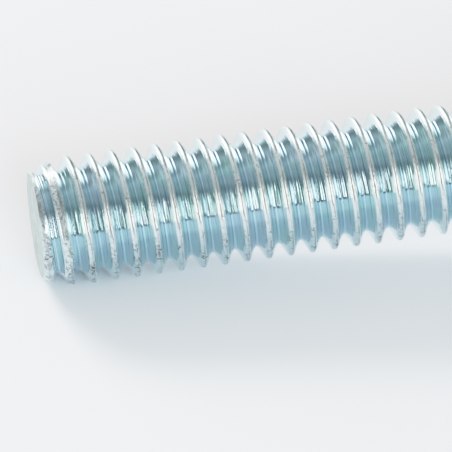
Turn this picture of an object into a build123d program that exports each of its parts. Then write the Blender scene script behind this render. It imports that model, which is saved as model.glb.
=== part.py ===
"""Countersunk slotted machine screw, fully threaded, lying at rest on a table.

The screw is built upright: its axis is Z, the end face of the shank is at zero and the
head is on top. A station is a distance along the axis from that end face. The finished
solid is then laid down with its slot upright, so that the two rim corners beside the slot
and one crest of the thread touch the floor.
All lengths are in millimetres and all angles in degrees.
"""
from build123d import *

import math
import os

# ---- Driving sizes -------------------------------------------------------------------
# Overall
length_overall = 16.0            # end face to the top of the head, as such screws are sold

# Thread
thread_pitch = 0.5
thread_major_diameter = 2.92     # over the crests
thread_angle = 60.0              # between the two flanks of the groove
thread_crest_share = 1 / 8       # crest flat, as a share of the pitch
thread_root_share = 1 / 6        # root flat, as a share of the pitch
thread_underside_crest = 0.18    # station of the first crest on the side that lies down
thread_head_gap = 0.9            # end of the thread to the cone of the head

# End of the shank, as the rolling dies leave it
end_taper_length = 0.80          # end face to the full thread
end_taper_drop = 0.175           # how far the taper falls below the full crests
end_edge_length = 0.08
end_edge_drop = 0.105            # how much further the broken edge falls

# Neck, which keeps the width of the blank, and head
neck_diameter = 2.65
head_diameter = 5.4              # over the rim
head_rim_height = 0.45
head_angle = 90.0                # of the cone, which seats in a countersink
head_edge_break = 0.08
head_neck_fillet = 0.25          # between the neck and the cone

# Slot
slot_width = 0.8
slot_depth = 0.7

# ---- Derived sizes -------------------------------------------------------------------
major_radius = thread_major_diameter / 2
flank_slope = math.tan(math.radians(thread_angle / 2))
crest_width = thread_pitch * thread_crest_share
root_width = thread_pitch * thread_root_share
thread_depth = (thread_pitch - crest_width - root_width) / (2 * flank_slope)
root_radius = major_radius - thread_depth

end_edge_radius = major_radius - end_taper_drop
end_face_radius = end_edge_radius - end_edge_drop
end_taper_slope = end_taper_drop / (end_taper_length - end_edge_length)

neck_radius = neck_diameter / 2
head_radius = head_diameter / 2
head_slope = math.tan(math.radians(head_angle / 2))
head_rim_station = length_overall - head_rim_height
head_neck_station = head_rim_station - (head_radius - neck_radius) / head_slope
thread_end_station = head_neck_station - thread_head_gap

# The run-out: a cone that sinks the last crests under the surface of the neck.
runout_turns = 2
runout_reach = major_radius + thread_pitch / 4
runout_foot = root_radius - thread_depth / 2
runout_end_station = thread_end_station + thread_pitch
runout_start_station = runout_end_station - runout_turns * thread_pitch

# The rod runs one turn or more past both cuts, and this is how far out the cuts reach.
rod_start = thread_underside_crest - 2 * thread_pitch
rod_turns = math.ceil((runout_end_station - rod_start) / thread_pitch) + 1
rod_margin = 3 * thread_pitch
cut_radius = runout_reach + thread_pitch


def helix_edge(radius, station):
    """One turn of a right-hand helix that starts on the underside."""
    return Edge.make_helix(thread_pitch, thread_pitch, radius, center=(0, 0, station))


def thread_turn(crest_station):
    """Faces of one turn of the thread: root, flank, crest and flank, in that order."""
    rails = [helix_edge(radius, crest_station + offset) for radius, offset in thread_outline]
    return [Face.make_surface_from_curves(low, high) for low, high in zip(rails, rails[1:])]


def rod_end(crest_station):
    """Spiral ramp and radial step that close the threaded rod at one end."""
    foot_station = crest_station + thread_outline[0][1]
    axis_line = Edge.make_line((0, 0, foot_station), (0, 0, foot_station + thread_pitch))
    ramp = Face.make_surface_from_curves(axis_line, helix_edge(root_radius, foot_station))
    profile = [(radius, 0, crest_station + offset) for radius, offset in thread_outline]
    step = Face(Wire.make_polygon([axis_line @ 0, *profile, axis_line @ 1], close=True))
    return [ramp, step]


def turned(*outline):
    """Solid turned about the axis from a closed (radius, station) outline."""
    with BuildPart(mode=Mode.PRIVATE) as lathe:
        with BuildSketch(Plane.XZ):
            with BuildLine():
                Polyline(*outline, close=True)
            make_face()
        revolve(axis=Axis.Z)
    return lathe.part


# ---- Threaded rod --------------------------------------------------------------------
# Corners of the thread over one pitch, as (radius, offset from the middle of the crest).
thread_outline = [
    (root_radius, thread_depth * -flank_slope - crest_width / 2 - root_width),
    (root_radius, thread_depth * -flank_slope - crest_width / 2),
    (major_radius, -crest_width / 2),
    (major_radius, crest_width / 2),
    (root_radius, thread_depth * flank_slope + crest_width / 2),
]
rod_faces = rod_end(rod_start) + rod_end(rod_start + rod_turns * thread_pitch)
for turn in range(rod_turns):
    rod_faces += thread_turn(rod_start + turn * thread_pitch)

with BuildPart() as shank:
    add(Solid(Shell(rod_faces)))
    # The end of the shank: cut square, with its edge broken and a taper to full thread.
    add(
        turned(
            (0, -rod_margin),
            (0, 0),
            (end_face_radius, 0),
            (end_edge_radius, end_edge_length),
            (cut_radius, end_taper_length + (cut_radius - major_radius) / end_taper_slope),
            (cut_radius, -rod_margin),
        ),
        mode=Mode.SUBTRACT,
    )
    # The run-out under the head.
    add(
        turned(
            (0, runout_end_station),
            (runout_foot, runout_end_station),
            (runout_reach, runout_start_station),
            (cut_radius, runout_start_station),
            (cut_radius, runout_end_station + rod_margin),
            (0, runout_end_station + rod_margin),
        ),
        mode=Mode.SUBTRACT,
    )

# ---- Head and neck -------------------------------------------------------------------
with BuildPart() as head:
    add(
        turned(
            (0, thread_end_station),
            (neck_radius, thread_end_station),
            (neck_radius, head_neck_station),
            (head_radius, head_rim_station),
            (head_radius, length_overall - head_edge_break),
            (head_radius - head_edge_break, length_overall),
            (0, length_overall),
        )
    )
    neck_rings = head.edges().filter_by(GeomType.CIRCLE).sort_by(Axis.Z)
    fillet(neck_rings[1], head_neck_fillet)
    with BuildSketch(Plane.XY.offset(length_overall)):
        Rectangle(3 * head_radius, slot_width)
    extrude(amount=-slot_depth, mode=Mode.SUBTRACT)

# ---- Rest ----------------------------------------------------------------------------
rest_turns = 4                   # crests near the end that could be the one it rests on
slot_corner_reach = math.sqrt(head_radius**2 - (slot_width / 2) ** 2)
rim_reach = slot_corner_reach if slot_depth > head_rim_height else head_radius


def crest_foot(turn):
    """Station and reach of the lowest point of one crest on the underside."""
    crest_edge = thread_underside_crest + turn * thread_pitch + crest_width / 2
    if crest_edge > end_taper_length:
        return max(crest_edge - crest_width, end_taper_length), major_radius
    cut = end_taper_slope * (end_taper_length - crest_edge) / (1 + end_taper_slope * flank_slope)
    return crest_edge + cut * flank_slope, major_radius - cut


def rest_slope(turn):
    """Slope of the axis if the screw rested on this crest and on the rim."""
    station, reach = crest_foot(turn)
    return (rim_reach - reach) / (head_rim_station - station)


rest_tilt = math.atan(min(rest_slope(turn) for turn in range(rest_turns)))
end_height = rim_reach * math.cos(rest_tilt) - head_rim_station * math.sin(rest_tilt)
face_reach = head_radius - head_edge_break
span = length_overall * math.cos(rest_tilt) + (end_face_radius + face_reach) * math.sin(rest_tilt)
end_place = end_face_radius * math.sin(rest_tilt) - span / 2
resting = Location((end_place, 0, end_height), (0, 90 - math.degrees(rest_tilt), 0))

# ---- The screw -----------------------------------------------------------------------
with BuildPart() as upright:
    add(shank.part)
    add(head.part)

with BuildPart() as machine_screw:
    add(upright.part.moved(resting))

os.makedirs("parts", exist_ok=True)
machine_screw.part.label = "machine_screw"
export_step(machine_screw.part, "parts/machine_screw.step")
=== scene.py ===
"""Countersunk slotted machine screw in bright zinc plate, lying on a pale table.

The screw is shaped upright, with its axis along Z, its end face at zero and its head on
top, and is then laid down as it rests. All values are in metres and radians.
"""
import math

import bmesh
import bpy
from bpy.props import (
    FloatProperty,
    FloatVectorProperty,
    IntProperty,
    PointerProperty,
)
from mathutils import Matrix, Vector


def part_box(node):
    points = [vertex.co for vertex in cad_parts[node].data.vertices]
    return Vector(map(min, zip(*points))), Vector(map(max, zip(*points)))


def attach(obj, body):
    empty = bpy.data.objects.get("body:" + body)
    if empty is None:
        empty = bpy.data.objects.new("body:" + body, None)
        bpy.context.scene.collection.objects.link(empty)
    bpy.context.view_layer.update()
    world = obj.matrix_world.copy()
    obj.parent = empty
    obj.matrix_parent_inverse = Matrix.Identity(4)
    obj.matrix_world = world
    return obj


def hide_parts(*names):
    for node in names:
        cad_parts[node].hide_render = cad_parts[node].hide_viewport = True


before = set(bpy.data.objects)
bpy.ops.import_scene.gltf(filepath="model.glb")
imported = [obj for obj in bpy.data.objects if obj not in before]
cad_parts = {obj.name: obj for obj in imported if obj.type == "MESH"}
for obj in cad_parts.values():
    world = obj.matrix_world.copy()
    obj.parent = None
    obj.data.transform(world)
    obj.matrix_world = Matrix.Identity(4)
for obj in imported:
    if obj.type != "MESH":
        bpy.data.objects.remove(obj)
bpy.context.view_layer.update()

bl_info = {
    "name": "Countersunk machine screw",
    "version": (1, 0, 0),
    "blender": (4, 5, 0),
    "location": "View3D > Sidebar > Screw",
    "description": "Builds a slotted countersunk machine screw and a small studio for it",
    "category": "Add Mesh",
}

MM = 0.001
NODE = "machine_screw"

# ---- Thread --------------------------------------------------------------------------
FLANK_ANGLE = math.radians(30)   # between a flank and a cut square to the axis
FLANK_SLOPE = math.tan(FLANK_ANGLE)
WELD = 0.0005 * MM               # corners nearer than this are one corner

# Rows of the thread from the middle of a crest to the middle of the groove, in pitches.
CREST_TO_ROOT = (0, 0.035, 0.07, 0.095, 0.12, 0.15, 0.18, 0.21, 0.24, 0.27, 0.30, 0.33, 0.36,
                 0.39, 0.42, 0.447, 0.473, 0.5)

TURNS_BEFORE = 2                 # turns of the grid that are cut off at the end face
TURNS_AFTER = 2                  # turns of the grid that are cut off at the neck
TAPER_BLEND = 0.03 * MM          # rounding where the taper meets the crests
EDGE_BLEND = 0.02 * MM           # rounding where the broken edge meets the taper
WIDEST_CREST = 0.8               # of half a pitch, where the taper lowers the crests
RIDGES = 5                       # fine ridges over one pitch
RIDGES_RISE = (0.12, 0.20)       # where they start beside a crest, in pitches
RIDGES_SINK = (0.36, 0.43)       # where they sink towards the groove, in pitches
RIDGES_LEFT = 0.1                # share of their height that is left in the groove
SEED, WEAR_SEED_STEP = 5, 7
SEAM_NOISE, WEAR_NOISE = (9.0, 3.0, 0.7), (2.2, 1.0)  # scale, detail and roughness
NOISE_RISE = 3.0                 # how far these noises move on in one turn
SEAM_OPEN = (5.0, -1.9)          # the seam opens by its noise times the first plus the second
SEAM_BLEND = 0.1                 # softness of the crest's edge, as a share of half a crest
KNOCKS_REACH = 3.0 * MM          # length of the end where the crests are knocked about

# ---- Ends of the screw ---------------------------------------------------------------
END_CUT = 0.02 * MM              # station where the shank is cut for its end face
# From that cut to the axis, as (share of the cut's radius, station).
END_OUTLINE = ((0.992, 0.010 * MM), (0.975, 0.002 * MM), (0.95, 0.0)) + tuple(
    (share / 10, 0.0) for share in range(9, 0, -1))
FACE_DEPTH = 0.003 * MM          # corners below this station belong to the end face
HALF_CONE = math.radians(22.5)   # half the turn between the cone and a straight side
KNEE = 0.03 * MM                 # rounding between the cone and the rim
TOP_RINGS = (0.98, 0.8, 0.5, 0.2)  # rings on top of the head, as shares of its radius
REST_TURNS = 4                   # crests near the end that could be the one it rests on
SHARP_ANGLE = math.radians(34)   # edges sharper than this stay sharp in the shading

# ---- Finish --------------------------------------------------------------------------
# Where a finish comes in across the thread, in pitches from the middle of a crest: it has
# no part at the first place and its full part at the second.
CREST_EDGE = (0.18, 0.13)
GROOVE_EDGE = (0.41, 0.46)
LINES_EDGE = (0.14, 0.20)
SEAM_EDGE = (0.045, 0.020)       # to each side of the seam
SHADE_PLACE = 0.215              # the painted shade line at the foot of each crest
SHADE_EDGE = (0.055, 0.030)      # to each side of that line
LOW_SIDE = (2.2 * MM, 1.2 * MM)  # heights over the table between which the low side comes in, for the painted shade on the crests and for more specks

# Patterns in the plate, as the scale, the detail and the roughness of a noise. The levels
# are those of the noise between which a pattern comes in.
DRIFT, DRIFT_LEVELS = (1700, 3.0), (0.38, 0.62)
FINE_MOTTLE, COARSE_MOTTLE, MOTTLE_LEVELS = (14000, 2.0), (3200, 2.0), (0.42, 0.56)
SEAM_GAPS, SEAM_LEVELS = (3500, 2.0), (0.30, 0.60)
PATCHES, PATCH_LEVELS = (5000, 1.0), (0.40, 0.62)
SPECKS, SPECK_LEVELS = (19000, 2.0, 0.6), (0.56, 0.62)
HAZE, HAZE_LEVELS = (4000, 3.0), (0.3, 0.8)
LINES, DRAG_LEVELS = (1.0, 1.0), (0.44, 0.60)
GRAIN = (16000, 2.0, 0.6)
DENTS = (4500, 2.0)
LINE_DRIFT = 400.0               # how soon the lines of the dies change along the thread

# How much of each there is.
MOTTLE_SHADE = 0.72              # darkest part of the end face, as a share of its colour
WEAR, LOW_CREST_SHADE = 0.85, 0.45     # on the crests, and how much less on the low side, which is painted shade
SEAM_COVER = 0.9
SHADE_COVER = 0.15               # of the painted shade line, as a share of the seam's
KNOCKED_MORE, LOW_MORE = 0.05, 0.035  # more specks near the end and on the low side
SPECKS_APART = 0.2               # what is left of the specks between their patches
SPECKS_ABOVE = 0.5               # what is left of them on the upper side
FACE_ROUGH = 0.28                # more than the flanks
HAZE_ROUGH = 0.04
PLAIN_GRAIN = 0.5                # on the end face and the head, as a share of a crest's
GRAIN_HEIGHT, DENTS_HEIGHT = 0.25, 0.18  # as shares of the lines' height
FACE_METAL = 0.4                 # the end face mirrors less than the plate

# ---- Studio --------------------------------------------------------------------------
TABLE_HALF = 0.6                 # half the side of the table
TABLE_CLOUDS, CLOUD_LEVELS, CLOUD_SHADES = (180.0, 3.0), (0.3, 0.7), (0.985, 1.0)
TABLE_ROUGH, TABLE_SHEEN = 0.6, 0.2
SENSOR_WIDTH = 36                # of the camera, in millimetres
CLIP_START, CLIP_END = 0.001, 10
MOST_BOUNCES, GLOSSY_BOUNCES = 16, 12  # of light between the flanks of the thread

# Brightness of the tent by the angle round the screw, from the table in front, in degrees.
TENT_BANDS = ((0, 0.25), (5, 0.25), (10, 0.50), (40, 0.50), (60, 0.48), (76, 0.78),
              (88, 0.80), (103, 1.02), (112, 0.80), (122, 0.62), (131, 0.80), (142, 0.95),
              (152, 0.72), (166, 0.42), (175, 0.80), (180, 1.10))
TENT_TINT = (0.97, 1.0, 1.0)
TENT_ENDS = (0.86, 0.97)         # where the bands give way to the plain ends, along X
TENT_END_GREY = (0.62, 0.62, 0.62)  # which, like the bands, is dimmed by the tent's level

# Lit parts of the tent: soft edges along X and soft edges round the screw, in radians. An
# edge is dark at its first place and fully lit at its second.
END_WINDOW = (((0.62, 0.72), (0.95, 0.88)), ((0.85, 0.60),))
SIDE_WINDOW = (((-0.45, -0.60), (-0.86, -0.72)), ((1.15, 0.25),))
BACK_PANEL = (((-0.68, -0.62), (-0.18, -0.24)), ((1.95, 2.65), (3.13, 3.06)))
HIGH_STRIP = (((0.32, 0.42), (0.76, 0.64)), ((1.70, 1.95), (2.80, 2.60)))
END_WINDOW_SHARE = 0.20          # of the brightness of the window in front
HIGH_STRIP_LIGHT = 1.25          # its brightness
WINDOW_TINT = (1.0, 0.88, 0.77)
PANEL_TINT = (0.97, 0.95, 0.92)

# The window in front. Places along X are measured from its middle.
WINDOW_SIDES = ((-0.06, -0.04), (0.06, 0.04))
WINDOW_SILL = (0.08, 0.12)
WINDOW_HEAD = math.radians(40)   # angle of its upper edge on the left
WINDOW_RISE = math.radians(18)   # how much higher the upper edge gets to the right
WINDOW_RISE_ENDS = (-0.06, 0.09)
WINDOW_HEAD_FADE = (-0.25, 0.15)  # soft upper edge, in radians below the head

# Area lights that light the table and make the shadow, each at a distance along a way from
# the middle of the table.
KEY_LIGHT = {"way": (-0.43, 0.68, 0.58), "away": 0.12, "wide": 0.045, "high": 0.025,
             "tint": (0.97, 0.98, 1.0)}
FILL_LIGHT = {"way": (0.05, -0.92, 0.36), "away": 0.30, "wide": 0.10, "high": 0.16,
              "tint": (0.62, 0.88, 1.05)}

WHITE_LEVEL = 3.0                # brightness that comes out as full white
SHOULDER_START = 0.45            # brightness above which highlights roll off
SHOULDER_POINTS = (SHOULDER_START, 0.6, 0.8, 1.0, 1.25, 1.5, 2.0)


# ---- Sizes and finishes --------------------------------------------------------------
def length(name, description, default, **rest):
    """A length property in metres, given in millimetres."""
    return FloatProperty(
        name=name, description=description, default=default * MM, unit="LENGTH",
        precision=5, **rest
    )


def colour(name, description, default):
    """A linear colour property."""
    return FloatVectorProperty(
        name=name, description=description, default=default, subtype="COLOR",
        min=0.0, max=1.0
    )


class ScrewSizes(bpy.types.PropertyGroup):
    """Sizes of the screw."""

    overall: length("Overall length", "End face to the top of the head", 16.0)
    pitch: length("Pitch", "Distance between neighbouring crests", 0.5)
    crest_radius: length("Crest radius", "Radius over the crests", 1.46)
    crest_width: length("Crest width", "Width of the flat on a crest", 0.085)
    root_rounding: length("Root rounding", "Radius at the bottom of the groove", 0.052)
    first_crest: length("First crest", "Station of a crest on the underside", 0.18)
    face_radius: length("End face radius", "Radius of the end face", 1.18)
    edge_radius: length("Broken edge radius", "Radius behind the broken edge", 1.285)
    edge_length: length("Broken edge length", "Length of the broken edge", 0.08)
    taper_length: length("Taper length", "End face to the full thread", 0.8)
    neck_radius: length("Neck radius", "Radius of the plain neck", 1.325)
    fade_start: length("Run-out start", "Station where the thread starts to fade", 12.75)
    fade_end: length("Run-out end", "Station where the thread is gone", 13.4)
    neck_cut: length("Neck station", "Station on the neck where the head is joined", 13.7)
    head_radius: length("Head radius", "Radius of the rim of the head", 2.7)
    rim_height: length("Rim height", "Height of the rim of the head", 0.45)
    rim_edge: length("Rim edge", "Rounding of the upper edge of the rim", 0.08)
    neck_fillet: length("Neck fillet", "Radius between the neck and the cone", 0.25)
    slot_width: length("Slot width", "Width of the slot", 0.8)
    slot_depth: length("Slot depth", "Depth of the slot", 0.7)
    slot_edge: length("Slot edge", "Rounding of the long edges of the slot", 0.03)
    seam_depth: length("Seam depth", "Depth of the rolled seam along the crests", 0.006)
    wear_depth: length("Wear", "Unevenness of the crests", 0.006)
    ridge_depth: length("Ridges", "Height of the fine ridges along the flanks", 0.007)
    segments: IntProperty(
        name="Segments", description="Faces in one turn", default=96, min=24, max=160
    )


class PlatingLook(bpy.types.PropertyGroup):
    """Colours and polish of the zinc plate."""

    blue: colour("Blue zinc", "Plate where the passivate is bluest", (0.57, 0.69, 0.76))
    green: colour("Green zinc", "Plate where the passivate is greenest", (0.54, 0.71, 0.73))
    root: colour("Groove", "Plate at the bottom of the groove", (0.42, 0.62, 0.72))
    crest: colour("Crest", "Worn metal on the crests", (0.74, 0.84, 0.86))
    # This colour also paints the shade line at the foot of each crest.
    seam: colour("Seam", "Dull metal along the seam of the crests", (0.36, 0.42, 0.44))
    stain: colour("Stain", "Specks on the crests", (0.12, 0.11, 0.10))
    # Painted shade: the slot is coloured darker than the plate around it.
    slot: colour("Slot", "Thinner plate in the slot", (0.36, 0.44, 0.48))
    face: colour("End face", "Plate on the sheared end face", (0.44, 0.53, 0.51))
    polish: FloatProperty(
        name="Flank roughness", description="Roughness of the rolled flanks", default=0.05,
        min=0.0, max=1.0, subtype="FACTOR"
    )
    lap: FloatProperty(
        name="Crest roughness", description="Roughness of the crests", default=0.24,
        min=0.0, max=1.0, subtype="FACTOR"
    )
    dull: FloatProperty(
        name="Head roughness", description="How much rougher the head and the neck are",
        default=0.17, min=0.0, max=1.0, subtype="FACTOR"
    )
    seam_place: FloatProperty(
        name="Seam place", description="Where the seam lies beside the crest, in pitches",
        default=0.035
    )
    drag: FloatProperty(
        name="Drag marks", description="How much rougher the drag marks along the flanks are",
        default=0.05, min=0.0, max=1.0
    )
    die_lines: FloatProperty(
        name="Die lines", description="How closely the lines of the dies lie", default=3.2,
        min=0.0
    )
    relief: length("Relief", "Depth of the lines and the grain", 0.008)


class StudioLook(bpy.types.PropertyGroup):
    """Table, lights and camera."""

    table: colour("Table", "Colour of the table", (0.73, 0.717, 0.727))
    backdrop: FloatVectorProperty(
        name="Backdrop", description="Brightness of the tent where it is seen directly",
        default=(1.18, 1.21, 1.23), min=0.0
    )
    tent: FloatProperty(
        name="Tent", description="Brightness of the tent over the table", default=0.85,
        min=0.0
    )
    side: FloatProperty(
        name="Side window", description="Brightness of the window beside the end face",
        default=5.8, min=0.0
    )
    window_place: FloatProperty(
        name="Window place", description="Where the middle of the window is, along X",
        default=0.43
    )
    front: FloatProperty(
        name="Window", description="Brightness of the low window in front", default=14.0,
        min=0.0
    )
    back: FloatProperty(
        name="Key light", description="Brightness of the light behind", default=27.0,
        min=0.0
    )
    panel: FloatProperty(
        name="Back panel", description="Brightness of the low panel behind", default=7.0,
        min=0.0
    )
    fill: FloatProperty(
        name="Fill light", description="Brightness of the blue light that opens the shadow",
        default=24.0, min=0.0
    )
    lens: FloatProperty(
        name="Lens", description="Focal length in millimetres", default=424.3, min=1.0
    )
    distance: length("Distance", "Camera to its target", 120.0)
    elevation: FloatProperty(
        name="Elevation", description="Angle of the camera above the table",
        default=math.radians(35.0), subtype="ANGLE"
    )
    heading: FloatProperty(
        name="Heading", description="Turn of the camera towards the end face",
        default=math.radians(12.08), subtype="ANGLE"
    )
    roll: FloatProperty(
        name="Roll", description="Turn of the camera about its own axis",
        default=math.radians(3.0), subtype="ANGLE"
    )
    target: FloatVectorProperty(
        name="Target", description="Point in the middle of the picture",
        default=(-3.676 * MM, 0.0, 0.992 * MM), unit="LENGTH", precision=5
    )


# ---- Node helpers --------------------------------------------------------------------
def node(tree, kind, inputs=None, **settings):
    """Adds a node, sets it up and fills its inputs with values or links."""
    made = tree.nodes.new(kind)
    for name, value in settings.items():
        setattr(made, name, value)
    for name, value in (inputs or {}).items():
        fill(tree, made.inputs[name], value)
    return made


def fill(tree, socket, value):
    """Gives a socket a value, or links another socket to it."""
    if isinstance(value, bpy.types.NodeSocket):
        tree.links.new(value, socket)
    else:
        socket.default_value = value


def maths(tree, operation, *values):
    """A Math node on one to three values."""
    made = tree.nodes.new("ShaderNodeMath")
    made.operation = operation
    for socket, value in zip(made.inputs, values):
        fill(tree, socket, value)
    return made.outputs[0]


def choose(tree, condition, when_true, when_false):
    """One of two numbers, by a condition that is nought or one."""
    kept = maths(tree, "MULTIPLY", condition, when_true)
    other = maths(tree, "SUBTRACT", 1.0, condition)
    return maths(tree, "MULTIPLY_ADD", other, when_false, kept)


def scaled(tree, vector, scale):
    """A vector or a colour times a number."""
    return node(tree, "ShaderNodeVectorMath", {0: vector, "Scale": scale},
                operation="SCALE").outputs[0]


def mixed(tree, factor, *colours):
    """Mix of two colours, each a socket or three numbers."""
    first, second = (
        part if isinstance(part, bpy.types.NodeSocket) else (*part, 1.0) for part in colours)
    return node(tree, "ShaderNodeMix", {0: factor, 6: first, 7: second},
                data_type="RGBA").outputs[2]


def output(tree, shader):
    """Makes a shader the surface of its material."""
    out = tree.nodes.new("ShaderNodeOutputMaterial")
    tree.links.new(shader.outputs[0], out.inputs["Surface"])


# ---- Thread --------------------------------------------------------------------------
def thread_tree():
    """Geometry nodes that wrap a flat grid into the threaded surface of the shank."""
    tree = bpy.data.node_groups.new("rolled_thread", "GeometryNodeTree")
    sockets = tree.interface
    sockets.new_socket("Geometry", in_out="OUTPUT", socket_type="NodeSocketGeometry")
    for name in ("Turns", "Segments", "Seed"):
        sockets.new_socket(name, in_out="INPUT", socket_type="NodeSocketInt")
    for name in (
        "Pitch", "Crest Radius", "Crest Width", "Root Rounding", "Start Crest",
        "Face Radius", "Edge Radius", "Edge Length", "Taper Length",
        "Neck Radius", "Fade Start", "Fade End", "Seam Depth", "Wear Depth",
        "Ridge Depth",
    ):
        sockets.new_socket(name, in_out="INPUT", socket_type="NodeSocketFloat")
    sockets.new_socket("Material", in_out="INPUT", socket_type="NodeSocketMaterial")

    given = tree.nodes.new("NodeGroupInput").outputs
    pitch, crest_radius = given["Pitch"], given["Crest Radius"]

    def m(operation, *values):
        return maths(tree, operation, *values)

    def ramp(value, low, high, start=0.0, end=1.0, **settings):
        return node(tree, "ShaderNodeMapRange", {
            "Value": value, "From Min": low, "From Max": high, "To Min": start,
            "To Max": end}, **settings).outputs[0]

    def noise(vector, seed, scale, detail, roughness=0.5):
        return node(tree, "ShaderNodeTexNoise", {
            "Vector": vector, "W": seed, "Scale": scale, "Detail": detail,
            "Roughness": roughness}, noise_dimensions="4D").outputs[0]

    def vector(x, y, z):
        return node(tree, "ShaderNodeCombineXYZ", {"X": x, "Y": y, "Z": z}).outputs[0]

    def stored(geometry, name, value, kind="FLOAT"):
        return node(tree, "GeometryNodeStoreNamedAttribute", {
            "Geometry": geometry, "Name": name, "Value": value},
            data_type=kind, domain="POINT").outputs[0]

    rows = 2 * len(CREST_TO_ROOT) - 1
    columns = m("MULTIPLY_ADD", given["Turns"], given["Segments"], 1)
    grid = node(
        tree, "GeometryNodeMeshGrid",
        {"Size X": 1.0, "Size Y": 1.0, "Vertices X": columns, "Vertices Y": rows},
    )
    place = node(tree, "ShaderNodeSeparateXYZ", {"Vector": node(
        tree, "GeometryNodeInputPosition").outputs[0]}).outputs
    turn = m("MULTIPLY", m("ADD", place["X"], 0.5), given["Turns"])
    angle = m("MULTIPLY", turn, math.tau)
    crest_station = m("MULTIPLY_ADD", turn, pitch, given["Start Crest"])

    # The row's distance from the middle of the crest, from a curve through the rows.
    curve = node(tree, "ShaderNodeFloatCurve", {"Value": m("ADD", place["Y"], 0.5)})
    shares = [0.5 - share for share in reversed(CREST_TO_ROOT)]
    shares += [0.5 + share for share in CREST_TO_ROOT[1:]]
    points = curve.mapping.curves[0].points
    points[0].location = (0.0, shares[0])
    points[-1].location = (1.0, shares[-1])
    for index, share in enumerate(shares[1:-1], start=1):
        points.new(index / (rows - 1), share)
    for point in points:
        point.handle_type = "VECTOR"
    curve.mapping.update()
    offset = m("MULTIPLY", m("SUBTRACT", curve.outputs[0], 0.5), pitch)

    def taper(station):
        """Radius that the taper at the end leaves at a station."""
        slope = m("DIVIDE", m("SUBTRACT", crest_radius, given["Edge Radius"]),
                  m("SUBTRACT", given["Taper Length"], given["Edge Length"]))
        line = m("MULTIPLY_ADD", m("SUBTRACT", station, given["Edge Length"]), slope,
                 given["Edge Radius"])
        return m("MINIMUM", line, m("ADD", crest_radius, TAPER_BLEND))

    def envelope(station):
        """Radius that the taper and the broken edge leave at a station."""
        slope = m("DIVIDE", m("SUBTRACT", given["Edge Radius"], given["Face Radius"]),
                  given["Edge Length"])
        edge = m("MULTIPLY_ADD", station, slope, given["Face Radius"])
        return m("SMOOTH_MIN", edge, taper(station), EDGE_BLEND)

    # Where the taper lowers the crest, the crest is wider: its rows follow its edges.
    half = m("MULTIPLY", pitch, 0.5)
    edge = m("MULTIPLY", given["Crest Width"], 0.5)
    lowered = m("SUBTRACT", crest_radius, taper(crest_station))
    wide = m("MULTIPLY_ADD", m("MAXIMUM", lowered, 0.0), FLANK_SLOPE, edge)
    wide = m("MINIMUM", wide, m("MULTIPLY", half, WIDEST_CREST))
    away = m("ABSOLUTE", offset)
    inner = m("MULTIPLY", m("DIVIDE", away, edge), wide)
    outer_share = m("DIVIDE", m("SUBTRACT", away, edge), m("SUBTRACT", half, edge))
    outer = m("MULTIPLY_ADD", outer_share, m("SUBTRACT", half, wide), wide)
    reach = choose(tree, m("LESS_THAN", away, edge), inner, outer)
    station = m("MULTIPLY_ADD", m("SIGN", offset), reach, crest_station)

    def on_flank(reach):
        """Radius of the straight flank at a distance from the middle of the crest."""
        return m("SUBTRACT", crest_radius,
                 m("DIVIDE", m("SUBTRACT", reach, edge), FLANK_SLOPE))

    def bulge(radius, across):
        """Height of a round part over its centre."""
        squared = m("SUBTRACT", m("MULTIPLY", radius, radius), m("MULTIPLY", across, across))
        return m("SQRT", m("MAXIMUM", squared, 0.0))

    # The section: straight flanks, a round bottom and a crest that meets the taper.
    rounding = given["Root Rounding"]
    centre = m("MULTIPLY_ADD", rounding, 2.0, on_flank(half))
    beside = m("SUBTRACT", half, reach)
    bottom = m("SUBTRACT", centre, bulge(rounding, beside))
    in_bottom = m("LESS_THAN", beside, m("MULTIPLY", rounding, math.cos(FLANK_ANGLE)))
    section = choose(tree, in_bottom, bottom, on_flank(reach))
    # The round crest touches both flanks, so its radius is its drop below their meeting.
    crown = m("DIVIDE", edge, FLANK_SLOPE)
    top = m("ADD", m("SUBTRACT", crest_radius, crown), bulge(crown, reach))
    on_top = m("LESS_THAN", reach, m("MULTIPLY", crown, math.cos(FLANK_ANGLE)))
    section = choose(tree, on_top, top, section)
    full = m("SMOOTH_MIN", section, envelope(station), TAPER_BLEND)

    # Rolling closes the crest over a seam, and leaves it uneven.
    on_crest = m("SMOOTH_MIN", m("DIVIDE", away, edge), 1.0, SEAM_BLEND)
    on_crest = m("MAXIMUM", m("SUBTRACT", 1.0, on_crest), 0.0)
    around = vector(m("COSINE", angle), m("SINE", angle), m("MULTIPLY", turn, NOISE_RISE))
    gaps = noise(around, given["Seed"], *SEAM_NOISE)
    wave = noise(around, m("ADD", given["Seed"], WEAR_SEED_STEP), *WEAR_NOISE)
    seam = m("MULTIPLY", m("MULTIPLY", on_crest, given["Seam Depth"]),
             m("MAXIMUM", m("MULTIPLY_ADD", gaps, *SEAM_OPEN), 0.0))
    wear = m("MULTIPLY", m("SUBTRACT", wave, 0.5), given["Wear Depth"])
    wear = m("MULTIPLY", wear, m("SUBTRACT", 1.0, m("DIVIDE", reach, half)))
    rolled = m("SUBTRACT", m("SUBTRACT", full, seam), m("ABSOLUTE", wear))

    # The dies leave fine ridges along the flanks.
    share = m("DIVIDE", away, pitch)
    ridge = m("COSINE", m("MULTIPLY", m("DIVIDE", offset, pitch), math.tau * RIDGES))
    ridged = m("MULTIPLY", ramp(share, *RIDGES_RISE),
               ramp(share, *RIDGES_SINK, 1.0, RIDGES_LEFT))
    ridge = m("MULTIPLY", m("MULTIPLY", ridge, ridged), given["Ridge Depth"])
    rolled = m("ADD", rolled, ridge)

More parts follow.
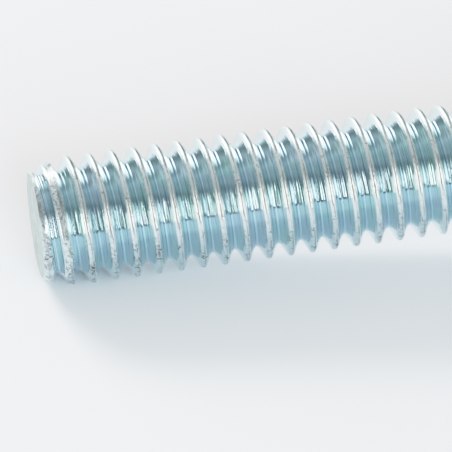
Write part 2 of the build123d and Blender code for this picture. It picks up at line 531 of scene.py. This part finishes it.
    # The run-out: crest and groove both come back to the width of the neck.
    passed = m("DIVIDE", m("SUBTRACT", station, given["Fade Start"]),
               m("SUBTRACT", given["Fade End"], given["Fade Start"]))
    fade = ramp(passed, 0.0, 1.0, 1.0, 0.0, interpolation_type="SMOOTHSTEP")
    radius = m("MULTIPLY_ADD", m("SUBTRACT", rolled, given["Neck Radius"]), fade,
               given["Neck Radius"])

    # What the finish reads: the thread's fade, how knocked about a place is, and where it
    # lies between two crests, wound on a circle so that it has no seam.
    wound = m("MULTIPLY", m("DIVIDE", offset, pitch), math.tau)
    coil = vector(m("COSINE", wound), m("SINE", wound), fade)
    knocks = ramp(station, 0.0, KNOCKS_REACH, 1.0, 0.0)
    marked = stored(grid.outputs["Mesh"], "crest", fade)
    marked = stored(marked, "coil", coil, "FLOAT_VECTOR")
    marked = stored(marked, "knocks", knocks)

    wrapped = vector(m("MULTIPLY", radius, m("COSINE", angle)),
                     m("MULTIPLY", radius, m("SINE", angle)), station)
    moved = node(tree, "GeometryNodeSetPosition", {"Geometry": marked, "Position": wrapped})
    welded = node(tree, "GeometryNodeMergeByDistance",
                  {"Geometry": moved.outputs[0], "Distance": WELD})
    real = node(tree, "GeometryNodeRealizeInstances", {"Geometry": welded.outputs[0]})
    dressed = node(tree, "GeometryNodeSetMaterial",
                   {"Geometry": real.outputs[0], "Material": given["Material"]})
    out = tree.nodes.new("NodeGroupOutput")
    tree.links.new(dressed.outputs[0], out.inputs["Geometry"])
    return tree


def thread_mesh(sizes, material):
    """The threaded shank as a plain open mesh, longer than needed at both ends."""
    tree = thread_tree()
    turns = math.ceil((sizes.neck_cut - sizes.first_crest) / sizes.pitch)
    turns += TURNS_BEFORE + TURNS_AFTER
    values = {
        "Turns": turns, "Segments": sizes.segments, "Seed": SEED, "Pitch": sizes.pitch,
        "Crest Radius": sizes.crest_radius, "Crest Width": sizes.crest_width,
        "Root Rounding": sizes.root_rounding,
        "Start Crest": sizes.first_crest - TURNS_BEFORE * sizes.pitch,
        "Face Radius": sizes.face_radius, "Edge Radius": sizes.edge_radius,
        "Edge Length": sizes.edge_length, "Taper Length": sizes.taper_length,
        "Neck Radius": sizes.neck_radius, "Fade Start": sizes.fade_start,
        "Fade End": sizes.fade_end, "Seam Depth": sizes.seam_depth,
        "Wear Depth": sizes.wear_depth, "Ridge Depth": sizes.ridge_depth,
        "Material": material,
    }
    return grown(tree, values, "thread_grid")


def grown(tree, values, name):
    """Runs a tree on an empty object and returns what it makes as a plain mesh."""
    holder = bpy.data.objects.new(name, bpy.data.meshes.new(name))
    bpy.context.scene.collection.objects.link(holder)
    modifier = holder.modifiers.new("nodes", "NODES")
    modifier.node_group = tree
    for item in tree.interface.items_tree:
        if item.in_out == "INPUT":
            modifier[item.identifier] = values[item.name]
    mesh = evaluated_mesh(holder)
    bpy.data.objects.remove(holder)
    return mesh


def evaluated_mesh(thing):
    """The object's mesh with its modifiers applied."""
    ready = thing.evaluated_get(bpy.context.evaluated_depsgraph_get())
    return bpy.data.meshes.new_from_object(ready)


# ---- Ends of the screw ---------------------------------------------------------------
def cut_ring(shape, station, keep_above):
    """Cuts the open shell square to its axis and returns the edges of the cut."""
    cut = bmesh.ops.bisect_plane(
        shape, geom=shape.verts[:] + shape.edges[:] + shape.faces[:], dist=WELD,
        plane_co=(0, 0, station), plane_no=(0, 0, 1),
        clear_inner=keep_above, clear_outer=not keep_above,
    )
    return [edge for edge in cut["geom_cut"] if isinstance(edge, bmesh.types.BMEdge)]


def place_key(corner):
    """The place of a corner, rounded so that it can be looked up."""
    return tuple(round(value, 9) for value in corner.co)


def turned_on(shape, ring, outline):
    """Grows a turned form from a ring of edges and closes it at the axis.

    The outline is a list of (share of the ring's own radius, station)."""
    starts = {corner: corner.co.copy() for edge in ring for corner in edge.verts}
    for share, station in outline:
        before = {place_key(corner): start for corner, start in starts.items()}
        fresh = bmesh.ops.extrude_edge_only(shape, edges=ring)["geom"]
        ring = [part for part in fresh if isinstance(part, bmesh.types.BMEdge)
                and len(part.link_faces) == 1]
        starts = {part: before[place_key(part)] for part in fresh
                  if isinstance(part, bmesh.types.BMVert)}
        for corner, start in starts.items():
            corner.co = (start.x * share, start.y * share, station)
    middle = Vector((0, 0, 0))
    for corner in starts:
        middle += corner.co / len(starts)
    bmesh.ops.pointmerge(shape, verts=list(starts), merge_co=middle)


def arc(centre, radius, start, end, steps):
    """Points on an arc in the plane of radius and station, angles in degrees."""
    points = []
    for step in range(steps + 1):
        angle = math.radians(start + (end - start) * step / steps)
        points.append((centre[0] + radius * math.cos(angle),
                       centre[1] + radius * math.sin(angle)))
    return points


def head_outline(sizes):
    """Outline of the neck and the head from the neck to the axis."""
    neck, rim, top = sizes.neck_radius, sizes.head_radius, sizes.overall
    rim_station = top - sizes.rim_height
    cone_foot = rim_station - (rim - neck)
    fillet, edge = sizes.neck_fillet, sizes.rim_edge
    fillet_start = cone_foot - fillet * math.tan(HALF_CONE)
    knee_end = rim_station + KNEE * math.tan(HALF_CONE)
    points = [(neck, (sizes.neck_cut + fillet_start) / 2)]
    points += arc((neck + fillet, fillet_start), fillet, 180, 135, 5)
    points += arc((rim - KNEE, knee_end), KNEE, -45, 0, 3)
    points += arc((rim - edge, top - edge), edge, 0, 90, 5)
    points += [(share * (rim - edge), top) for share in TOP_RINGS]
    return points


def slot_cutter(sizes):
    """Closed bar that cuts the slot, flared where the slot meets the top of the head."""
    half, depth, edge = sizes.slot_width / 2, sizes.slot_depth, sizes.slot_edge
    top = sizes.overall
    side = arc((half + edge, top - edge), edge, 180, 90, 4)
    right = [(half, top - depth)] + side + [(half + edge, top + depth)]
    section = right + [(-y, z) for y, z in reversed(right)]
    shape = bmesh.new()
    reach = 1.5 * sizes.head_radius
    ends = [[shape.verts.new((x, y, z)) for y, z in section] for x in (-reach, reach)]
    count = len(section)
    for index in range(count):
        after = (index + 1) % count
        shape.faces.new((ends[0][index], ends[0][after], ends[1][after], ends[1][index]))
    shape.faces.new(ends[0])
    shape.faces.new(ends[1])
    bmesh.ops.recalc_face_normals(shape, faces=shape.faces)
    # The slot's walls are marked so that they can be coloured darker, as painted shade.
    mark = shape.faces.layers.float.new("slot")
    for wall in shape.faces:
        wall[mark] = 1.0
    mesh = bpy.data.meshes.new("slot_cutter")
    shape.to_mesh(mesh)
    shape.free()
    return mesh


def rest_matrix(sizes):
    """Places the upright screw as it lies, on the slot's rim corners and one crest."""
    rim_station = sizes.overall - sizes.rim_height
    rim_reach = math.sqrt(sizes.head_radius ** 2 - (sizes.slot_width / 2) ** 2)
    taper = sizes.crest_radius - sizes.edge_radius
    taper /= sizes.taper_length - sizes.edge_length
    tilts = []
    for turn in range(REST_TURNS):
        crest_end = sizes.first_crest + turn * sizes.pitch + sizes.crest_width / 2
        if crest_end > sizes.taper_length:
            foot = max(crest_end - sizes.crest_width, sizes.taper_length)
            reach = sizes.crest_radius
        else:
            cut = taper * (sizes.taper_length - crest_end) / (1 + taper * FLANK_SLOPE)
            foot, reach = crest_end + cut * FLANK_SLOPE, sizes.crest_radius - cut
        tilts.append(math.atan((rim_reach - reach) / (rim_station - foot)))
    tilt = min(tilts)
    height = rim_reach * math.cos(tilt) - rim_station * math.sin(tilt)
    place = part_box(NODE)[0].x + sizes.face_radius * math.sin(tilt)
    return Matrix.Translation((place, 0, height)) @ Matrix.Rotation(
        math.pi / 2 - tilt, 4, "Y")


# ---- Materials -----------------------------------------------------------------------
def zinc_plate(look):
    """Bright zinc with a thin blue passivate, polished by the rolling dies."""
    material = bpy.data.materials.new("zinc_plate")
    material.use_nodes = True
    tree = material.node_tree
    tree.nodes.clear()

    def m(operation, *values):
        return maths(tree, operation, *values)

    def noise(vector, scale, detail, roughness=0.5):
        return node(tree, "ShaderNodeTexNoise", {
            "Vector": vector, "Scale": scale, "Detail": detail,
            "Roughness": roughness}).outputs[0]

    def ramp(value, limits):
        return node(tree, "ShaderNodeMapRange", {
            "Value": value, "From Min": limits[0], "From Max": limits[1]}).outputs[0]

    def mark(name, kind="Fac"):
        return node(tree, "ShaderNodeAttribute", attribute_name=name).outputs[kind]

    def near(value, middle, limits):
        return ramp(m("ABSOLUTE", m("SUBTRACT", value, middle)), limits)

    place = node(tree, "ShaderNodeTexCoord").outputs["Object"]
    fade, face, slot, knocks = mark("crest"), mark("end_face"), mark("slot"), mark("knocks")
    coil = mark("coil", "Vector")
    plain = m("SUBTRACT", 1.0, fade)
    low = ramp(node(tree, "ShaderNodeSeparateXYZ", {"Vector": place}).outputs["Z"], LOW_SIDE)

    # Where a point lies across the thread, in pitches from the middle of a crest.
    parts = node(tree, "ShaderNodeSeparateXYZ", {"Vector": coil}).outputs
    phase = m("DIVIDE", m("ARCTAN2", parts["Y"], parts["X"]), math.tau)
    across = m("ABSOLUTE", phase)
    crest = m("MULTIPLY", ramp(across, CREST_EDGE), fade)
    groove = m("MULTIPLY", ramp(across, GROOVE_EDGE), fade)
    flanks = m("MULTIPLY", ramp(across, LINES_EDGE), fade)

    # The passivate drifts between blue and green, and the sheared end face is mottled.
    plate = mixed(tree, ramp(noise(place, *DRIFT), DRIFT_LEVELS), look.blue, look.green)
    plate = mixed(tree, groove, plate, look.root)
    mottle = m("MULTIPLY_ADD", noise(place, *FINE_MOTTLE), 0.5,
               m("MULTIPLY", noise(place, *COARSE_MOTTLE), 0.5))
    sheared = mixed(tree, ramp(mottle, MOTTLE_LEVELS),
                    [MOTTLE_SHADE * part for part in look.face], look.face)
    plate = mixed(tree, face, plate, sheared)

    # The crests are worn to bare metal. On the side that lies down, less of that metal is
    # mixed in, as painted shade there.
    worn_and_low_shade = m("MULTIPLY", crest, m("MULTIPLY_ADD", low, -LOW_CREST_SHADE, WEAR))
    plate = mixed(tree, worn_and_low_shade, plate, look.crest)

    # The seam of the crests is dull where it isn't closed. A painted shade line, in the
    # seam's colour, runs at the foot of each crest on one side.
    seam = m("MULTIPLY", near(phase, look.seam_place, SEAM_EDGE), crest)
    seam = m("MULTIPLY", seam, ramp(noise(place, *SEAM_GAPS), SEAM_LEVELS))
    shade = m("MULTIPLY", near(phase, SHADE_PLACE, SHADE_EDGE), fade)
    seam = m("MAXIMUM", seam, m("MULTIPLY", shade, SHADE_COVER))
    plate = mixed(tree, m("MULTIPLY", seam, SEAM_COVER), plate, look.seam)
    # Painted shade: the slot's walls take the darker slot colour.
    plate = mixed(tree, slot, plate, look.slot)

    # Specks lie on the crests in patches, and more of them low down and near the end.
    patches = ramp(noise(place, *PATCHES), PATCH_LEVELS)
    specks = m("MULTIPLY_ADD", knocks, KNOCKED_MORE, noise(place, *SPECKS))
    specks = ramp(m("MULTIPLY_ADD", low, LOW_MORE, specks), SPECK_LEVELS)
    specks = m("MULTIPLY", specks, m("MULTIPLY_ADD", patches, 1 - SPECKS_APART, SPECKS_APART))
    specks = m("MULTIPLY", specks, m("MULTIPLY_ADD", low, 1 - SPECKS_ABOVE, SPECKS_ABOVE))
    plate = mixed(tree, m("MULTIPLY", specks, crest), plate, look.stain)

    # The dies leave fine lines along the thread, and drag marks between them.
    lines = node(tree, "ShaderNodeVectorMath", {
        0: scaled(tree, coil, look.die_lines), 1: scaled(tree, place, LINE_DRIFT)},
        operation="ADD").outputs[0]
    lines = noise(lines, *LINES)
    drag = m("MULTIPLY", ramp(lines, DRAG_LEVELS), flanks)
    rough = m("MULTIPLY_ADD", drag, look.drag, look.polish)
    rough = m("MULTIPLY_ADD", crest, look.lap - look.polish, rough)
    rough = m("MULTIPLY_ADD", plain, look.dull, rough)
    rough = m("MULTIPLY_ADD", face, FACE_ROUGH, rough)
    haze = ramp(noise(place, *HAZE), HAZE_LEVELS)
    rough = m("MULTIPLY_ADD", haze, HAZE_ROUGH, rough)

    # Relief: those lines, a grain on the crests and the end, and shallow dents.
    coarse = m("MAXIMUM", crest, m("MULTIPLY", m("ADD", plain, face), PLAIN_GRAIN))
    grain = m("MULTIPLY", noise(place, *GRAIN), coarse)
    dents = m("MULTIPLY", noise(place, *DENTS), fade)
    height = m("MULTIPLY_ADD", grain, GRAIN_HEIGHT, m("MULTIPLY", lines, flanks))
    height = m("MULTIPLY_ADD", dents, DENTS_HEIGHT, height)
    bump = node(tree, "ShaderNodeBump", {
        "Height": height, "Strength": 1.0, "Distance": look.relief})
    output(tree, node(tree, "ShaderNodeBsdfPrincipled", {
        "Base Color": plate, "Metallic": m("MULTIPLY_ADD", face, FACE_METAL - 1.0, 1.0),
        "Roughness": rough, "Normal": bump.outputs[0]}))
    return material


def table_top(look):
    """Smooth white board, faintly clouded."""
    material = bpy.data.materials.new("table_top")
    material.use_nodes = True
    tree = material.node_tree
    tree.nodes.clear()
    place = node(tree, "ShaderNodeTexCoord").outputs["Object"]
    scale, detail = TABLE_CLOUDS
    clouds = node(tree, "ShaderNodeTexNoise",
                  {"Vector": place, "Scale": scale, "Detail": detail}).outputs[0]
    shade = node(tree, "ShaderNodeMapRange", {
        "Value": clouds, "From Min": CLOUD_LEVELS[0], "From Max": CLOUD_LEVELS[1],
        "To Min": CLOUD_SHADES[0], "To Max": CLOUD_SHADES[1]}).outputs[0]
    output(tree, node(tree, "ShaderNodeBsdfPrincipled", {
        "Base Color": scaled(tree, tuple(look.table), shade), "Roughness": TABLE_ROUGH,
        "Specular IOR Level": TABLE_SHEEN}))
    return material


# ---- Studio --------------------------------------------------------------------------
def tent_world(look):
    """Banded tent round the table, with windows in front and at both ends, a low panel
    behind and a strip high up behind. Camera rays see a plain backdrop instead."""
    world = bpy.data.worlds.new("tent")
    world.use_nodes = True
    tree = world.node_tree

    def m(operation, *values):
        return maths(tree, operation, *values)

    def step(value, dark, full):
        return node(tree, "ShaderNodeMapRange", {
            "Value": value, "From Min": dark, "From Max": full},
            interpolation_type="SMOOTHSTEP").outputs[0]

    def lit_part(*edges):
        """One where every soft edge is lit. Each argument is a value and its edges."""
        lit = 1.0
        for value, pairs in edges:
            for dark, full in pairs:
                lit = m("MULTIPLY", step(value, dark, full), lit)
        return lit

    def brighter(first, second):
        return node(tree, "ShaderNodeVectorMath", {0: first, 1: second},
                    operation="MAXIMUM").outputs[0]

    way = node(tree, "ShaderNodeTexCoord").outputs["Generated"]
    axis = node(tree, "ShaderNodeSeparateXYZ", {"Vector": way}).outputs
    along = axis["X"]
    turn = m("ARCTAN2", axis["Z"], m("MULTIPLY", axis["Y"], -1.0))

    # The cloth, from the table in front over the top to the back.
    bands = node(tree, "ShaderNodeValToRGB", {"Fac": m("DIVIDE", turn, math.pi)})
    stops = bands.color_ramp.elements
    while len(stops) > 1:
        stops.remove(stops[-1])
    for index, (angle, grey) in enumerate(TENT_BANDS):
        stop = stops[0] if index == 0 else stops.new(angle / 180)
        stop.position = angle / 180
        stop.color = (*[grey * part for part in TENT_TINT], 1.0)
    ends = step(m("ABSOLUTE", along), *TENT_ENDS)
    cloth = scaled(tree, mixed(tree, ends, bands.outputs[0], TENT_END_GREY), look.tent)

    # The warm windows: a narrow one in front, whose upper edge rises, and one at the end.
    aside = m("SUBTRACT", along, look.window_place)
    head = m("MULTIPLY_ADD", step(aside, *WINDOW_RISE_ENDS), WINDOW_RISE, WINDOW_HEAD)
    pane = lit_part((m("SUBTRACT", head, turn), [WINDOW_HEAD_FADE]), (aside, WINDOW_SIDES),
                    (turn, [WINDOW_SILL]))
    end = lit_part(*zip((along, turn), END_WINDOW))
    pane = m("MAXIMUM", pane, m("MULTIPLY", end, END_WINDOW_SHARE))
    window = scaled(tree, WINDOW_TINT, m("MULTIPLY", pane, look.front))

    # The white ones: beside the end face, low behind and high behind on the right.
    side, panel, strip = (
        lit_part(*zip((along, turn), part)) for part in (SIDE_WINDOW, BACK_PANEL, HIGH_STRIP))
    white = m("MAXIMUM", m("MULTIPLY", side, look.side), m("MULTIPLY", panel, look.panel))
    white = m("MAXIMUM", white, m("MULTIPLY", strip, HIGH_STRIP_LIGHT))
    lights = brighter(window, scaled(tree, PANEL_TINT, white))

    # Seen directly, the tent is as plain and pale as the table.
    seen = node(tree, "ShaderNodeLightPath").outputs["Is Camera Ray"]
    background = tree.nodes["Background"].inputs
    fill(tree, background["Color"], mixed(tree, seen, brighter(cloth, lights), look.backdrop))
    background["Strength"].default_value = 1.0
    return world


def soft_box(scene, name, brightness, way, away, wide, high, tint):
    """Area light that faces the middle of the table. The plate doesn't mirror it."""
    data = bpy.data.lights.new(name, "AREA")
    data.shape = "RECTANGLE"
    data.size = wide
    data.size_y = high
    data.energy = brightness * math.pi * wide * high
    data.color = tint
    light = bpy.data.objects.new(name, data)
    towards = Vector(way).normalized()
    light.matrix_world = Matrix.Translation(towards * away) @ towards.to_track_quat(
        "Z", "Y").to_matrix().to_4x4()
    light.visible_camera = False
    light.visible_glossy = False
    scene.collection.objects.link(light)


def placed_camera(scene, look):
    """Camera at a distance from its target, from its heading, elevation and roll."""
    data = bpy.data.cameras.new("camera")
    data.lens = look.lens
    data.sensor_width = SENSOR_WIDTH
    data.clip_start = CLIP_START
    data.clip_end = CLIP_END
    camera = bpy.data.objects.new("camera", data)
    level = Vector((math.sin(look.heading), math.cos(look.heading), 0))
    up = Vector((0, 0, 1))
    ahead = level * math.cos(look.elevation) - up * math.sin(look.elevation)
    right = ahead.cross(up).normalized()
    right = Matrix.Rotation(-look.roll, 3, ahead) @ right
    upright = right.cross(ahead)
    place = Vector(look.target) - ahead * look.distance
    camera.matrix_world = Matrix.Translation(place) @ Matrix(
        (right, upright, -ahead)).transposed().to_4x4()
    scene.collection.objects.link(camera)
    scene.camera = camera


def soft_shoulder(view):
    """Rolls the highlights off softly, as film does, instead of clipping them."""
    view.view_transform = "Standard"
    view.use_curve_mapping = True
    curves = view.curve_mapping
    curves.white_level = (WHITE_LEVEL,) * 3
    points = curves.curves[3].points  # of the curve for all colours together
    points[0].location = (0.0, 0.0)
    points[-1].location = (1.0, 1.0)
    room = 1 - SHOULDER_START
    for light in SHOULDER_POINTS:
        rolled = SHOULDER_START + room * (1 - math.exp((SHOULDER_START - light) / room))
        points.new(light / WHITE_LEVEL, rolled)
    curves.update()


# ---- Operators -----------------------------------------------------------------------
class BuildScrew(bpy.types.Operator):
    """Build the screw as one closed piece in place of its plain solid"""

    bl_idname = "screw.build"
    bl_label = "Build screw"

    def execute(self, context):
        sizes, look = context.scene.screw_sizes, context.scene.plating_look
        placed = rest_matrix(sizes)
        material = zinc_plate(look)
        mesh = thread_mesh(sizes, material)

        shape = bmesh.new()
        shape.from_mesh(mesh)
        face_mark = shape.verts.layers.float.new("end_face")
        shape.faces.layers.float.new("slot")
        ring = cut_ring(shape, sizes.neck_cut, keep_above=False)
        turned_on(shape, ring, [(radius / sizes.neck_radius, station)
                                for radius, station in head_outline(sizes)])
        ring = cut_ring(shape, END_CUT, keep_above=True)
        turned_on(shape, ring, END_OUTLINE)
        crest_mark = shape.verts.layers.float["crest"]
        for corner in shape.verts:
            if corner.co.z < FACE_DEPTH:
                corner[face_mark] = 1.0
                corner[crest_mark] = 0.0
        bmesh.ops.recalc_face_normals(shape, faces=shape.faces)
        open_edges = [edge for edge in shape.edges if not edge.is_manifold]
        if open_edges:
            raise RuntimeError(f"the screw has {len(open_edges)} open edges")
        shape.to_mesh(mesh)
        shape.free()

        screw = bpy.data.objects.new("screw", mesh)
        cutter = bpy.data.objects.new("slot_cutter", slot_cutter(sizes))
        for thing in (screw, cutter):
            context.scene.collection.objects.link(thing)
        cut = screw.modifiers.new("slot", "BOOLEAN")
        cut.operation = "DIFFERENCE"
        cut.solver = "EXACT"
        cut.object = cutter
        screw.data = evaluated_mesh(screw)
        screw.modifiers.clear()
        bpy.data.objects.remove(cutter)

        screw.data.shade_smooth()
        screw.data.set_sharp_from_angle(angle=SHARP_ANGLE)
        screw.data.transform(placed)
        weighted = screw.modifiers.new("normals", "WEIGHTED_NORMAL")
        weighted.keep_sharp = True
        screw.data = evaluated_mesh(screw)
        screw.modifiers.clear()
        screw.data.name = "screw"
        screw.data.materials.clear()
        screw.data.materials.append(material)

        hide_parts(NODE)
        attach(screw, "root")
        return {"FINISHED"}


class BuildStudio(bpy.types.Operator):
    """Set the table, the lights and the camera"""

    bl_idname = "screw.studio"
    bl_label = "Build studio"

    def execute(self, context):
        scene = context.scene
        look = scene.studio_look
        mesh = bpy.data.meshes.new("table")
        half = TABLE_HALF
        mesh.from_pydata(
            [(-half, -half, 0), (half, -half, 0), (half, half, 0), (-half, half, 0)],
            [], [(0, 1, 2, 3)])
        table = bpy.data.objects.new("table", mesh)
        table.data.materials.append(table_top(look))
        scene.collection.objects.link(table)

        scene.world = tent_world(look)
        soft_box(scene, "key_light", look.back, **KEY_LIGHT)
        soft_box(scene, "fill_light", look.fill, **FILL_LIGHT)
        placed_camera(scene, look)
        soft_shoulder(scene.view_settings)
        scene.cycles.max_bounces = MOST_BOUNCES
        scene.cycles.glossy_bounces = GLOSSY_BOUNCES
        return {"FINISHED"}


class ScrewPanel(bpy.types.Panel):
    """Sizes, finish and studio of the screw"""

    bl_idname = "VIEW3D_PT_screw"
    bl_label = "Machine screw"
    bl_space_type = "VIEW_3D"
    bl_region_type = "UI"
    bl_category = "Screw"

    def draw(self, context):
        for group, operator in (
            (context.scene.screw_sizes, None),
            (context.scene.plating_look, BuildScrew.bl_idname),
            (context.scene.studio_look, BuildStudio.bl_idname),
        ):
            for name in group.__annotations__:
                self.layout.prop(group, name)
            if operator:
                self.layout.operator(operator)


CLASSES = (ScrewSizes, PlatingLook, StudioLook, BuildScrew, BuildStudio, ScrewPanel)
GROUPS = {"screw_sizes": ScrewSizes, "plating_look": PlatingLook, "studio_look": StudioLook}


def register():
    for each in CLASSES:
        bpy.utils.register_class(each)
    for name, group in GROUPS.items():
        setattr(bpy.types.Scene, name, PointerProperty(type=group))


def unregister():
    for name in GROUPS:
        delattr(bpy.types.Scene, name)
    for each in reversed(CLASSES):
        bpy.utils.unregister_class(each)


def main():
    """Builds everything."""
    register()
    bpy.ops.screw.build()
    bpy.ops.screw.studio()


if __name__ == "__main__":
    main()
